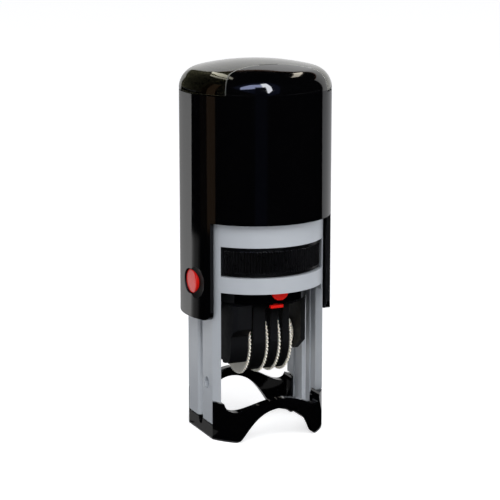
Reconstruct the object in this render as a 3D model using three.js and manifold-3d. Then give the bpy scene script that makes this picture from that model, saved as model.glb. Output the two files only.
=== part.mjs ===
// Round self-inking date stamp, standing at rest. Millimetres, +Z up, the open front towards -Y,
// origin on the table under the middle of the foot ring.
import * as THREE from "three";
import { mergeVertices } from "three/addons/utils/BufferGeometryUtils.js";
import Module from "manifold-3d";

const wasm = await Module();
wasm.setup();

// Clearances and working values shared by all pieces
const gap = 0.3; // between pieces that touch or slide
const overrun = 1; // how far a cut runs past the wall that it opens
const fuse = 0.4; // how deep two joined forms reach into each other
const wideSides = 48;
const smallSides = 20;

// Main sizes: the cap's tube, and the print unit's pivot with the cap up
const capRadius = 18;
const capWall = 1.5;
const pivotHeight = 31.8;
const dieReach = 7.1; // from the pivot to the printing face
const travel = pivotHeight - dieReach;

// Frame: flat-sided tube on four corner posts, a sliding fit in the cap
const frameRadius = capRadius - capWall - gap;
const flatInset = 1.9;
const frameFlat = frameRadius - flatInset; // half width across the side flats
const frameWall = 1.5;
const sideWall = 1.35;
const tunnelHalf = frameFlat - sideWall; // half width of the straight tunnel from front to rear
const ringRise = 4.28; // from the pivot to the foot of the cassette ring
const ringSill = 3.77;
const windowRise = 7.2;
const deckThickness = 1.5;
const neckRise = 6.65; // from the deck to the frame's top
const ringFoot = pivotHeight + ringRise;
const windowFoot = ringFoot + ringSill;
const windowTop = windowFoot + windowRise;
const frameTop = windowTop + deckThickness + neckRise;
const slotHalf = 1.1;
const slotChamfer = 0.5;
const webDepth = 0.36; // recess between the rails of a leg
const webReach = 6.1;
const guideHalf = 3.2; // outer edge of the two guide ribs beside the slot
const ledgeWidth = 0.65;
const ledgeHeight = 0.95;
const lipDepth = 1.2;
const lipHalfWidth = 5;
const collarRadius = 8.3;
const collarWall = 1;
const collarHeight = 1.5;
const postHeight = 3;
const pocketRadius = 1.4; // where the lock buttons engage
const pocketDepth = 0.9;

// Foot ring: arches, dips beside them and corners that reach up round the frame's posts
const footSide = 3.4;
const shoulderTop = 9.2;
const footWall = 1.8;
const archTop = 10.8;
const archUnder = 8.5;
const dipHeight = 7.4;
const footCorner = 1.1;
const notchFoot = 1.9;
const footReach = 4.8; // from a side flat to the arch
const hornWidth = 1.9; // top of a corner
const hornRun = 1.7; // from a corner's top to the dip
const earWall = 0.7; // inner cheek of a corner, inside the tunnel
const earInset = 2; // how far the cheek passes the corner towards the middle

// Cap: push handle over the frame's neck, with two straps down its sides
const skirtOverlap = 2.6; // below the frame's top
const seamRise = 1.5; // from the inner shelf to the lower edge of the crown cover
const crownRise = 9.3; // from the inner shelf to the top
const crownRadius = 50;
const shoulderFillet = 5;
const skirtHeight = frameTop - skirtOverlap;
const shelfHeight = frameTop + travel + gap;
const seamHeight = shelfHeight + seamRise;
const crownTop = shelfHeight + crownRise;
const strapDrop = 2.5; // below the pivot
const strapFoot = pivotHeight - strapDrop;
const strapHalfWidth = 9.3;
const strapCorner = 2;
const coverWall = 1.2;
const cardWall = 0.3;
const cardInset = 5;
const cardSides = 32;
const deckWall = 1.5; // under the index card
const tongueInset = 5; // the front and rear crown panels, seen from above
const coverWaist = 15.6; // the cover's width between the two panels
const tongueReach = capRadius - coverWaist / 2;
const tonguePower = 2.5;

// Main spring
const springWire = 0.9;
const springMean = 6.05;
const springTurns = 8;
const springSteps = 8; // per turn
const springSeatRise = 3.8; // from the inner shelf to the seat in the cap
const springPostDrop = 3.5; // from the seat to the end of its post
const springSeatHeight = shelfHeight + springSeatRise;

// Lock buttons in the straps, set towards the front on the left and towards the rear on the right
const buttonForward = 2.1;
const buttonRise = 6.1; // above the pivot
const buttonHeight = pivotHeight + buttonRise;
const buttonRadius = 2.9;
const buttonFlange = 3.9;
const buttonFlangeWall = 0.6;
const buttonPlay = 1; // behind the flange, for the press
const buttonBack = frameFlat + buttonPlay;
const buttonDome = 0.4;
const nibRadius = 0.9;
const nibForward = 4.2;
const nibTip = frameFlat + gap;
const dishRadius = 9.4;
const dishDepth = 0.8;
const dishTilt = 15.8 * THREE.MathUtils.DEG2RAD;
const housingRadius = 5.4;

// Print unit, heights measured from its pivot
const unitPlay = 0.65; // beside it in the tunnel
const holderRadius = tunnelHalf - unitPlay;
const holderFoot = 1;
const holderTop = 4.4;
const holderCeiling = 2.6;
const holderRim = 1.4;
const dieInset = 0.6;
const dieRadius = holderRadius - dieInset;
const dieSheet = 0.6;
const backingWall = 0.9;
const borderWidth = 0.8;
const ruleWidth = 0.5;
const ruleHalfLength = 7.4;
const windowHalf = 4.2; // half depth of the date window in the die
const openingHalf = 5.3; // half depth of the slot that the bands pass through
const carrierRound = holderRadius - holderRim - gap;
const carrierInset = 0.6;
const carrierHalf = carrierRound - carrierInset;
const carrierReach = 7.5;
const cheekWall = 1.2;
const cheekHalf = 7; // right cheek, down to its shoulder
const cheekShoulder = 0.7; // below the axle
const cheekTipDrop = 3.7; // below the axle
const cheekTipHalf = 3;
const noseFoot = 0.9;
const noseRadius = 2;
const axleDrop = 9.1; // from the pivot down to the wheel axle
const axleRadius = 1;
const axleHalf = carrierHalf - gap;
const lugInner = carrierHalf + gap;
const lugRadius = 2.4;
const pinRadius = 0.8;
const pinRecess = 0.6;
const pinInner = lugInner + pinRecess;
const pinInset = 1.9;
const pinOuter = capRadius - pinInset;
const pinBossRadius = 2.3;

// Wheel housing: fingers that fill the spaces between the wheels, before and behind the bands
const housingDeck = 1;
const housingTop = holderFoot - gap;
const housingFoot = housingTop - housingDeck;
const dropShares = { finger: 0.949, block: 0.81 }; // of the inner face's radius, below the axle
const flareReach = 2;
const flareFoot = -5;
const housingSteps = 5;

// Red marker plug and tab on the holder
const markerShift = 0.95;
const markerRadius = 2.2;
const markerRise = 3.95;
const markerWall = 0.6;
const markerSeat = holderRadius - gap;
const markerStem = 0.8;
const markerStemDrop = 1.05; // below the plug's middle
const markerStemLength = 1.5;
const tabProud = 0.1;
const tabDepth = 1;
const tabHeight = 0.75;
const tabTop = holderFoot - gap;
const tabLeft = -1.4;
const tabRight = 1.9;
const tabStemHalf = 0.5;
const tabStemInset = 0.7; // from the holder's outer face
const tabStemDepth = 0.6;
const tabStemTop = 1.4;

// Ink pad cassette
const cassetteInset = 0.7;
const cassetteFront = frameRadius - cassetteInset;
const padMargin = 0.1;
const padRadius = dieRadius + padMargin;
const padThickness = 3.6;
const ribCount = 40;
const ribDepth = 0.3;
const ribLip = 0.75;
const ribSpan = 102 * THREE.MathUtils.DEG2RAD;
const ribRoot = 1;

// Date wheels and bands, from left to right; the flanges' places are shares of the cheeks' inner faces
const flangeShares = [-0.559, -0.052, 0.308, 0.643];
const flangeWall = 0.7;
const flangeShare = 0.748; // of the holder's radius
const flangeRadius = flangeShare * holderRadius;
const wheelShares = { knurl: 0.054, spacer: 0.38, wall: 0.087, band: 0.109, pad: 0.065 }; // of the flange
const knurlDepth = wheelShares.knurl * flangeRadius;
const knurlCount = 58;
const hubShares = [0.478, 0.598, 0.598, 0.598]; // of the flange's radius
const hubRadii = hubShares.map((share) => share * flangeRadius);
const spacerRadius = wheelShares.spacer * flangeRadius;
const bandWall = wheelShares.band * flangeRadius;
const padRise = wheelShares.pad * flangeRadius;
const padCount = 12;
const padShare = 0.72;
const bandSteps = 6; // outline points for each character pad

// Colours of the finished pieces
const look = (color, roughness, metalness = 0) =>
  new THREE.MeshStandardMaterial({ color, roughness, metalness });
const blackGloss = look(0x0b0b0d, 0.12);
const blackSatin = look(0x141416, 0.4);
const lightGrey = look(0xb4babd, 0.45);
const smoked = look(0x3a3c40, 0.08);
const paper = look(0xe8e6de, 0.9);
const red = look(0xd8160e, 0.3);
const white = look(0xdedcd2, 0.5);
const rubber = look(0x1a1a1b, 0.75);
const dieRubber = look(0x6b2a26, 0.8);
const felt = look(0x1d1d2b, 0.95);
const steel = look(0xb9bcc0, 0.3, 1);

// A closed geometry as a solid that can be joined and cut
function solidOf(geometry) {
  const bare = geometry.clone();
  bare.deleteAttribute("normal");
  bare.deleteAttribute("uv");
  const merged = mergeVertices(bare, 1e-4);
  return new wasm.Manifold(
    new wasm.Mesh({
      numProp: 3,
      vertProperties: merged.attributes.position.array,
      triVerts: new Uint32Array(merged.index.array),
    }),
  );
}

// A finished solid as a named mesh
function meshOf(name, solid, material) {
  const { vertProperties, triVerts } = solid.getMesh();
  const geometry = new THREE.BufferGeometry();
  geometry.setAttribute("position", new THREE.BufferAttribute(vertProperties, 3));
  geometry.setIndex(new THREE.BufferAttribute(triVerts, 1));
  geometry.computeVertexNormals();
  const mesh = new THREE.Mesh(geometry, material);
  mesh.name = name;
  return mesh;
}

const axisX = new THREE.Vector3(1, 0, 0);
const axisY = new THREE.Vector3(0, 1, 0);
const axisZ = new THREE.Vector3(0, 0, 1);
const sideways = new THREE.Matrix4().makeBasis(axisY, axisZ, axisX);
const upright = new THREE.Matrix4().makeBasis(axisX, axisZ, axisY.clone().negate());

// An outline pushed along an axis: "top" runs up Z, "side" along X from a Y-Z outline,
// "front" along Y from an X-Z outline
function extrude(shape, low, high, view = "top", curveSegments = wideSides / 4) {
  const geometry = new THREE.ExtrudeGeometry(shape, {
    depth: high - low,
    bevelEnabled: false,
    curveSegments,
  });
  geometry.translate(0, 0, view === "front" ? -high : low);
  if (view === "side") geometry.applyMatrix4(sideways);
  if (view === "front") geometry.applyMatrix4(upright);
  return solidOf(geometry);
}

// A closed profile of [radius, height] pairs turned about Z
function revolve(profile, sides = wideSides) {
  const points = profile.map(([radius, height]) => new THREE.Vector2(radius, height));
  const geometry = new THREE.LatheGeometry(points, sides);
  geometry.rotateX(Math.PI / 2);
  return solidOf(geometry);
}

function ring(inner, outer, low, high, sides = wideSides) {
  return revolve([[inner, low], [outer, low], [outer, high], [inner, high], [inner, low]], sides);
}

function box(x0, x1, y0, y1, z0, z1) {
  const geometry = new THREE.BoxGeometry(x1 - x0, y1 - y0, z1 - z0);
  geometry.translate((x0 + x1) / 2, (y0 + y1) / 2, (z0 + z1) / 2);
  return solidOf(geometry);
}

// A round bar along X, Y or Z between two places on that axis
function bar(axis, radius, from, to, [a, b] = [0, 0], sides = smallSides) {
  const geometry = new THREE.CylinderGeometry(radius, radius, to - from, sides);
  const middle = (from + to) / 2;
  if (axis === "x") geometry.rotateZ(-Math.PI / 2).translate(middle, a, b);
  if (axis === "y") geometry.translate(a, middle, b);
  if (axis === "z") geometry.rotateX(Math.PI / 2).translate(a, b, middle);
  return solidOf(geometry);
}

const join = (first, ...others) => others.reduce((sum, solid) => sum.add(solid), first);
const cut = (first, ...others) => others.reduce((rest, solid) => rest.subtract(solid), first);
const bothSides = (make) => [-1, 1].map(make);
const inOrder = (a, b) => [Math.min(a, b), Math.max(a, b)];

function rectangle(x0, x1, y0, y1) {
  const corners = [[x0, y0], [x1, y0], [x1, y1], [x0, y1]];
  return new THREE.Shape(corners.map(([x, y]) => new THREE.Vector2(x, y)));
}

function circle(radius) {
  const shape = new THREE.Shape();
  shape.absarc(0, 0, radius, 0, 2 * Math.PI, false);
  return shape;
}

// Plan of the frame: a circle with two flats
function flatSided(radius, flat) {
  const corner = Math.acos(flat / radius);
  const shape = new THREE.Shape();
  shape.absarc(0, 0, radius, corner, Math.PI - corner, false);
  shape.absarc(0, 0, radius, Math.PI + corner, 2 * Math.PI - corner, false);
  shape.closePath();
  return shape;
}

// Half profile of the crown at a depth below its outer skin, from the shoulder to the axis
const crownCentre = crownTop - crownRadius;
const filletAt = capRadius - shoulderFillet;
const filletCentre = crownCentre + Math.sqrt((crownRadius - shoulderFillet) ** 2 - filletAt ** 2);
const filletTurn = Math.atan2(filletCentre - crownCentre, filletAt);
const filletSteps = 4;
const crownSteps = 4;
function crownArc(depth, edge = Infinity) {
  const points = [];
  for (let i = 0; i <= filletSteps; i++) {
    const turn = (filletTurn * i) / filletSteps;
    const radius = filletAt + (shoulderFillet - depth) * Math.cos(turn);
    if (radius < edge) points.push([radius, filletCentre + (shoulderFillet - depth) * Math.sin(turn)]);
  }
  const start = Math.min(edge, (crownRadius - depth) * Math.cos(filletTurn));
  for (let i = edge < Infinity ? 0 : 1; i <= crownSteps; i++) {
    const radius = (start * (crownSteps - i)) / crownSteps;
    points.push([radius, crownCentre + Math.sqrt((crownRadius - depth) ** 2 - radius ** 2)]);
  }
  return points;
}

// A shell between two depths below the crown's skin, down to a height at its edge
function crownShell(outerDepth, innerDepth, low) {
  const outer = [[capRadius - outerDepth, low], ...crownArc(outerDepth)];
  const inner = [...crownArc(innerDepth).reverse(), [capRadius - innerDepth, low]];
  return revolve([...outer, ...inner, outer[0]]);
}

// Prisms over the front and rear crown panels, wider by a margin
function tongues(margin) {
  const steps = 20;
  const tongueHalf = capRadius - tongueInset + margin;
  const points = [];
  for (let i = 0; i <= steps; i++) {
    const turn = (Math.PI * i) / steps;
    const power = 2 / tonguePower;
    const x = tongueHalf * Math.sign(Math.cos(turn)) * Math.abs(Math.cos(turn)) ** power;
    const y = (tongueReach + margin) * Math.sin(turn) ** power - capRadius;
    points.push(new THREE.Vector2(x, y));
  }
  points.push(new THREE.Vector2(-tongueHalf, -capRadius - overrun));
  points.push(new THREE.Vector2(tongueHalf, -capRadius - overrun));
  const rear = points.map(({ x, y }) => new THREE.Vector2(-x, -y));
  const low = seamHeight - 2 * overrun;
  const high = crownTop + overrun;
  return join(extrude(new THREE.Shape(points), low, high), extrude(new THREE.Shape(rear), low, high));
}

// Radius that fits inside the spring's flat-sided curls
const springCore = springMean * Math.cos(Math.PI / springSteps) - springWire / 2 - gap;

// Cap shell: skirt, deck under the card, crown panels, spring seat and two straps
const deckDepth = coverWall + gap + cardWall + gap;
const ledgeTop = seamHeight - gap;
const flatSeat = frameFlat + gap;
const skirtInner = capRadius - capWall;

function strapSolid() {
  const outline = new THREE.Shape();
  outline.moveTo(-strapHalfWidth, skirtHeight + fuse);
  outline.lineTo(-strapHalfWidth, strapFoot + strapCorner);
  const corner = strapHalfWidth - strapCorner;
  outline.absarc(-corner, strapFoot + strapCorner, strapCorner, Math.PI, 1.5 * Math.PI);
  outline.absarc(corner, strapFoot + strapCorner, strapCorner, 1.5 * Math.PI, 2 * Math.PI);
  outline.lineTo(strapHalfWidth, skirtHeight + fuse);
  outline.closePath();
  const low = strapFoot - overrun;
  const high = skirtHeight + 2 * fuse;
  const block = cut(
    extrude(circle(capRadius), low, high).intersect(extrude(outline, -capRadius, capRadius, "side")),
    extrude(flatSided(skirtInner, flatSeat), low - overrun, high + overrun),
  );
  const inside = strapHalfWidth - capWall;
  const pocket = extrude(circle(skirtInner), strapFoot + capWall, high + overrun).intersect(
    box(-capRadius, capRadius, -inside, inside, strapFoot, high + overrun),
  );
  const bosses = bothSides((side) => {
    const [from, to] = inOrder(side * tunnelHalf, side * capRadius);
    return join(
      bar("x", pinBossRadius, from, to, [0, pivotHeight]),
      bar("x", housingRadius, from, to, [side * buttonForward, buttonHeight]),
    );
  });
  return cut(block, cut(pocket, ...bosses));
}

// Bores for a lock button and a pivot pin, and the finger dish sunk in the strap before the button
const dishSteps = 5;
const dishTurn = Math.acos(1 - (dishDepth + overrun) / dishRadius);
function buttonHole(side) {
  const flangeEnd = buttonBack + buttonFlangeWall + gap;
  const span = (from, to) => inOrder(side * from, side * to);
  const place = [side * buttonForward, buttonHeight];
  const dishFloor = capRadius - dishDepth;
  const dish = [[0, dishFloor]];
  for (let i = 1; i <= dishSteps; i++) {
    const turn = (dishTurn * i) / dishSteps;
    dish.push([dishRadius * Math.sin(turn), dishFloor + dishRadius * (1 - Math.cos(turn))]);
  }
  dish.push([0, dish[dishSteps][1]]);
  const points = dish.map(([radius, height]) => new THREE.Vector2(radius, height));
  const geometry = new THREE.LatheGeometry(points, wideSides);
  geometry.rotateX(Math.PI / 2).rotateY((side * Math.PI) / 2).rotateZ(dishTilt);
  geometry.translate(0, 0, buttonHeight);
  return join(
    bar("x", buttonRadius + gap, ...span(tunnelHalf, capRadius + overrun), place),
    bar("x", buttonFlange + gap, ...span(tunnelHalf, flangeEnd), place),
    bar("x", pinRadius + gap, ...span(tunnelHalf, pinOuter + gap), [0, pivotHeight]),
    solidOf(geometry),
  );
}

function capShell() {
  const deckInner = capRadius - deckDepth - deckWall;
  const postFoot = springSeatHeight - springPostDrop;
  const skin = [
    [skirtInner, skirtHeight],
    [capRadius, skirtHeight],
    [capRadius, ledgeTop],
    [capRadius - deckDepth, ledgeTop],
    ...crownArc(deckDepth),
    [0, postFoot],
    [springCore, postFoot],
    [springCore, springSeatHeight],
    [deckInner, springSeatHeight],
    [deckInner, shelfHeight],
    [skirtInner, shelfHeight],
    [skirtInner, skirtHeight],
  ];
  const panels = crownShell(0, deckDepth + fuse, ledgeTop - fuse).intersect(tongues(0));
  return cut(join(revolve(skin), panels, strapSolid()), ...bothSides(buttonHole));
}

function crownCover() {
  return cut(crownShell(0, coverWall, seamHeight), tongues(gap));
}

function indexCard() {
  const depth = coverWall + gap;
  const outer = crownArc(depth, capRadius - cardInset);
  const inner = crownArc(depth + cardWall, capRadius - cardInset).reverse();
  return cut(revolve([...outer, ...inner, outer[0]], cardSides), tongues(gap));
}

function pivotPin(side) {
  const [from, to] = inOrder(side * pinInner, side * pinOuter);
  return bar("x", pinRadius, from, to, [0, pivotHeight]);
}

// Domed button with a retaining flange and a nib that enters the frame's pocket
function lockButton(side) {
  const flangeEnd = buttonBack + buttonFlangeWall;
  const domeSteps = 5;
  const dome = [];
  for (let i = 0; i <= domeSteps; i++) {
    const turn = (Math.PI * i) / (2 * domeSteps);
    dome.push([buttonRadius * Math.cos(turn), capRadius - buttonDome * (1 - Math.sin(turn))]);
  }
  dome[domeSteps][0] = 0;
  const profile = [
    [0, buttonBack],
    [buttonFlange, buttonBack],
    [buttonFlange, flangeEnd],
    [buttonRadius, flangeEnd],
    ...dome,
  ];
  const points = profile.map(([radius, height]) => new THREE.Vector2(radius, height));
  const geometry = new THREE.LatheGeometry(points, smallSides);
  geometry.rotateX(Math.PI / 2).rotateY((side * Math.PI) / 2);
  geometry.translate(0, side * buttonForward, buttonHeight);
  const [from, to] = inOrder(side * nibTip, side * flangeEnd);
  return join(solidOf(geometry), bar("x", nibRadius, from, to, [side * nibForward, buttonHeight]));
}

// Frame: four posts with guide slots, the cassette ring, the spring deck and the neck in the cap
const cornerAt = Math.sqrt(frameRadius ** 2 - frameFlat ** 2); // where a flat meets the round
const legFoot = footSide + gap;

function frame() {
  const bore = frameRadius - frameWall;
  const slotTop = pivotHeight + slotHalf + gap;
  const deckFoot = windowTop;
  const deckTop = deckFoot + deckThickness;
  const below = legFoot - overrun;
  const body = cut(
    extrude(flatSided(frameRadius, frameFlat), legFoot, frameTop),
    extrude(flatSided(bore, tunnelHalf), ringFoot - fuse, frameTop + overrun),
    box(-tunnelHalf, tunnelHalf, -capRadius, capRadius, below, ringFoot),
    box(-tunnelHalf, tunnelHalf, -capRadius, 0, windowFoot, windowTop),
  );
  const slots = bothSides((side) => {
    const hole = new THREE.Shape();
    hole.moveTo(-slotHalf, below);
    hole.lineTo(slotHalf, below);
    hole.absarc(0, slotTop - slotHalf, slotHalf, 0, Math.PI);
    hole.closePath();
    const [from, to] = inOrder(side * (tunnelHalf - overrun), side * (frameFlat + overrun));
    const lip = new THREE.Shape(
      [
        [frameFlat - slotChamfer, -slotHalf],
        [frameFlat + slotChamfer, -slotHalf - 2 * slotChamfer],
        [frameFlat + slotChamfer, slotHalf + 2 * slotChamfer],
        [frameFlat - slotChamfer, slotHalf],
      ].map(([x, y]) => new THREE.Vector2(side * x, side * y)),
    );
    return join(extrude(hole, from, to, "side"), extrude(lip, below, slotTop - slotHalf));
  });
  const recesses = bothSides((side) => {
    const [from, to] = inOrder(side * (tunnelHalf - overrun), side * (tunnelHalf + webDepth));
    return join(
      box(from, to, -webReach, -guideHalf, below, ringFoot - frameWall),
      box(from, to, guideHalf, webReach, below, ringFoot - frameWall),
    );
  });
  const seats = bothSides((side) => {
    const [from, to] = inOrder(side * (cornerAt - gap), side * capRadius);
    return box(-capRadius, capRadius, from, to, below, shoulderTop + gap);
  });
  const pockets = bothSides((side) => {
    const [from, to] = inOrder(side * (frameFlat - pocketDepth), side * (frameFlat + overrun));
    return join(
      bar("x", pocketRadius, from, to, [side * nibForward, buttonHeight]),
      bar("x", pocketRadius, from, to, [side * nibForward, buttonHeight - travel]),
    );
  });
  const ledges = bothSides((side) => {
    const [from, to] = inOrder(side * (tunnelHalf - ledgeWidth), side * (tunnelHalf + fuse));
    const reach = Math.sqrt(bore ** 2 - tunnelHalf ** 2);
    return box(from, to, -reach, reach, windowFoot - ledgeHeight, windowFoot);
  });
  const rearLip = ring(bore - lipDepth, bore + fuse, windowFoot - ledgeHeight, windowFoot).intersect(
    box(-lipHalfWidth, lipHalfWidth, 0, frameRadius, ringFoot, windowTop),
  );
  return join(
    cut(body, ...slots, ...recesses, ...seats, ...pockets),
    extrude(flatSided(bore + fuse, tunnelHalf + fuse), deckFoot, deckTop),
    bar("z", springCore, deckFoot, deckTop + postHeight, [0, 0], wideSides),
    ring(collarRadius - collarWall, collarRadius, deckTop - fuse, deckTop + collarHeight),
    rearLip,
    ...ledges,
  );
}

// Foot ring: low sides, raised corners and an arch at the front and the rear; the points of the
// curves are shares of the arch, the dip and the corner
const hollow = frameRadius - footWall;
const archShares = { low: 0.74, high: 0.54, rise: 0.52 };
const crestShares = { low: 0.8, high: 0.46 };

function footOutline() {
  const shape = new THREE.Shape();
  const spread = frameRadius;
  const archHalf = frameFlat - footReach;
  const shoulderAt = frameFlat - hornWidth;
  const dipAt = shoulderAt - hornRun;
  const heel = archHalf + footCorner;
  const toe = archHalf - footCorner / 2;
  const [low, high] = [archShares.low * archHalf, archShares.high * archHalf];
  const [crestLow, crestHigh] = [crestShares.low * dipAt, crestShares.high * dipAt];
  const rise = archShares.rise * archUnder;
  shape.moveTo(-spread, 0);
  shape.lineTo(-heel, 0);
  shape.quadraticCurveTo(-archHalf, 0, -toe, footCorner);
  shape.bezierCurveTo(-low, rise, -high, archUnder, 0, archUnder);
  shape.bezierCurveTo(high, archUnder, low, rise, toe, footCorner);
  shape.quadraticCurveTo(archHalf, 0, heel, 0);
  shape.lineTo(spread, 0);
  shape.lineTo(spread, shoulderTop);
  shape.lineTo(shoulderAt, shoulderTop);
  shape.quadraticCurveTo(shoulderAt - footCorner / 4, dipHeight, dipAt, dipHeight);
  shape.bezierCurveTo(crestLow, dipHeight, crestHigh, archTop, 0, archTop);
  shape.bezierCurveTo(-crestHigh, archTop, -crestLow, dipHeight, -dipAt, dipHeight);
  shape.quadraticCurveTo(-shoulderAt + footCorner / 4, dipHeight, -shoulderAt, shoulderTop);
  shape.lineTo(-spread, shoulderTop);
  shape.closePath();
  return shape;
}

function footRing() {
  const notch = new THREE.Shape();
  notch.absarc(0, notchFoot + slotHalf, slotHalf, Math.PI, 2 * Math.PI);
  notch.lineTo(slotHalf, footSide + overrun);
  notch.lineTo(-slotHalf, footSide + overrun);
  notch.closePath();
  const above = archTop + overrun;
  const corners = cut(
    extrude(flatSided(frameRadius, frameFlat), 0, above),
    extrude(flatSided(hollow, tunnelHalf), -overrun, above + overrun),
    box(-capRadius, capRadius, -cornerAt, cornerAt, footSide, above),
    extrude(notch, -capRadius, capRadius, "side"),
  );
  const ears = cut(
    box(-tunnelHalf - fuse, tunnelHalf + fuse, -capRadius, capRadius, 0, shoulderTop),
    box(gap + earWall - tunnelHalf, tunnelHalf - earWall - gap, -capRadius, capRadius, -overrun, above),
    box(-capRadius, capRadius, earInset - cornerAt, cornerAt - earInset, -overrun, above),
    cut(
      box(-capRadius, capRadius, -cornerAt, cornerAt, -overrun, above),
      box(gap - tunnelHalf, tunnelHalf - gap, -capRadius, capRadius, -overrun, above),
    ),
  ).intersect(extrude(circle(frameRadius), 0, above));
  return join(corners, ears).intersect(extrude(footOutline(), -capRadius, capRadius, "front"));
}

// Compression spring: one unbroken tube of five-sided rings along a helix
function mainSpring() {
  const ringSides = 5;
  const wireRadius = springWire / 2;
  const low = windowTop + deckThickness + gap + wireRadius;
  const high = springSeatHeight - gap - wireRadius;
  const steps = springTurns * springSteps;
  const positions = [];
  const centres = [];
  for (let i = 0; i <= steps; i++) {
    const turn = (2 * Math.PI * i) / springSteps;
    const height = low + ((high - low) * i) / steps;
    const outward = new THREE.Vector3(Math.cos(turn), Math.sin(turn), 0);
    centres.push(outward.clone().multiplyScalar(springMean).setZ(height));
    for (let k = 0; k < ringSides; k++) {
      const around = (2 * Math.PI * k) / ringSides;
      const point = centres[i].clone().addScaledVector(outward, wireRadius * Math.cos(around));
      point.z += wireRadius * Math.sin(around);
      positions.push(point.x, point.y, point.z);
    }
  }
  const faces = [];
  for (let i = 0; i < steps; i++) {
    for (let k = 0; k < ringSides; k++) {
      const a = i * ringSides + k;
      const b = i * ringSides + ((k + 1) % ringSides);
      faces.push(a, b + ringSides, b, a, a + ringSides, b + ringSides);
    }
  }
  const last = steps * ringSides;
  for (let k = 1; k < ringSides - 1; k++) {
    faces.push(0, k, k + 1, last, last + k + 1, last + k);
  }
  let least = Infinity;
  for (let i = 0; i < centres.length; i++) {
    for (let j = i + springSteps / 2; j < centres.length; j++) {
      least = Math.min(least, centres[i].distanceTo(centres[j]) - springWire);
    }
  }
  console.log(`main spring: least gap between its curls ${least.toFixed(2)} mm`);
  const geometry = new THREE.BufferGeometry();
  geometry.setAttribute("position", new THREE.Float32BufferAttribute(positions, 3));
  geometry.setIndex(faces);
  return solidOf(geometry);
}

// Cassette: curved front with finger ribs, a round pocket for the pad below
const cassetteHalf = tunnelHalf - gap;
const cassetteFoot = windowFoot + gap;
const cassetteTop = windowTop - gap;

function padCassette() {
  const rear = frameRadius - frameWall - gap;
  const frontTurn = Math.acos(cassetteHalf / cassetteFront);
  const rearTurn = Math.acos(cassetteHalf / rear);
  const plan = new THREE.Shape();
  plan.absarc(0, 0, cassetteFront, Math.PI + frontTurn, 2 * Math.PI - frontTurn, false);
  plan.absarc(0, 0, rear, rearTurn, Math.PI - rearTurn, false);
  plan.closePath();
  const zigzag = [];
  for (let i = 0; i <= 2 * ribCount; i++) {
    const turn = -Math.PI / 2 + ribSpan * (i / (2 * ribCount) - 0.5);
    const radius = cassetteFront + (i % 2 ? ribDepth : 0);
    zigzag.push(new THREE.Vector2(radius * Math.cos(turn), radius * Math.sin(turn)));
  }
  for (const share of [0.5, 0.25, 0, -0.25, -0.5]) {
    const turn = -Math.PI / 2 + ribSpan * share;
    const radius = cassetteFront - ribRoot;
    zigzag.push(new THREE.Vector2(radius * Math.cos(turn), radius * Math.sin(turn)));
  }
  const ribs = extrude(new THREE.Shape(zigzag), cassetteFoot + ribLip, cassetteTop - ribLip).intersect(
    box(-cassetteHalf, cassetteHalf, -frameRadius, 0, cassetteFoot, cassetteTop),
  );
  return cut(
    join(extrude(plan, cassetteFoot, cassetteTop), ribs),
    bar("z", padRadius + gap, cassetteFoot - overrun, cassetteFoot + padThickness + gap, [0, 0], wideSides),
  );
}

function inkPad() {
  return bar("z", padRadius, cassetteFoot, cassetteFoot + padThickness, [0, 0], wideSides);
}

// Places of the wheels and bands along the axle, worked out from the flanges
const cheekInner = carrierHalf - cheekWall;
const flangePlaces = flangeShares.map((share) => share * cheekInner);
const wheels = flangePlaces.map((place, i) => {
  const left = i ? flangePlaces[i - 1] + flangeWall / 2 + gap : gap - cheekInner;
  return { left, flange: place - flangeWall / 2, right: place + flangeWall / 2, hub: hubRadii[i] };
});
const bandsLeft = wheels[0].left;
const bandsRight = wheels[wheels.length - 1].flange - gap;
const dateLeft = bandsLeft - gap;
const dateRight = bandsRight + gap;
const unit = (height) => pivotHeight + height;
const axleHeight = unit(-axleDrop);
const bandRise = bandWall + padRise;
const noseHeight = dieReach - noseRadius - gap - bandRise; // sets the pads level with the die
const noseReach = axleDrop + noseHeight;
const toothRoot = flangeRadius - knurlDepth;

function dieHolder() {
  const lugs = bothSides((side) => {
    const outline = new THREE.Shape();
    outline.absarc(0, pivotHeight, lugRadius, Math.PI, 2 * Math.PI);
    outline.lineTo(lugRadius, unit(holderCeiling + fuse));
    outline.lineTo(-lugRadius, unit(holderCeiling + fuse));
    outline.closePath();
    const [from, to] = inOrder(side * lugInner, side * holderRadius);
    return extrude(outline, from, to, "side");
  });
  const disc = cut(
    bar("z", holderRadius, unit(holderFoot), unit(holderTop), [0, 0], wideSides),
    bar("z", holderRadius - holderRim, unit(holderFoot - overrun), unit(holderCeiling), [0, 0], wideSides),
    box(dateLeft, dateRight, -openingHalf, openingHalf, unit(0), unit(holderTop + overrun)),
  );
  const marker = [markerShift, unit(markerRise)];
  const stem = [markerShift, unit(markerRise - markerStemDrop)];
  const round = bar("z", holderRadius, unit(-lugRadius - overrun), unit(holderTop), [0, 0], wideSides);
  return cut(
    join(disc, ...lugs).intersect(round),
    tabStem(gap),
    bar("x", pinRadius + gap, -holderRadius - overrun, holderRadius + overrun, [0, pivotHeight]),
    bar("y", markerRadius + gap, -frameRadius, gap - markerSeat, marker),
    bar("y", markerStem + gap, -frameRadius, markerStemLength + gap - markerSeat, stem),
  );
}

function dateWindow(low, high) {
  return box(dateLeft, dateRight, -windowHalf, windowHalf, unit(low), unit(high));
}

function dieBacking() {
  const low = holderTop + gap;
  const disc = bar("z", dieRadius - gap, unit(low), unit(low + backingWall), [0, 0], wideSides);
  return cut(disc, dateWindow(low - overrun, low + backingWall + overrun));
}

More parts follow.
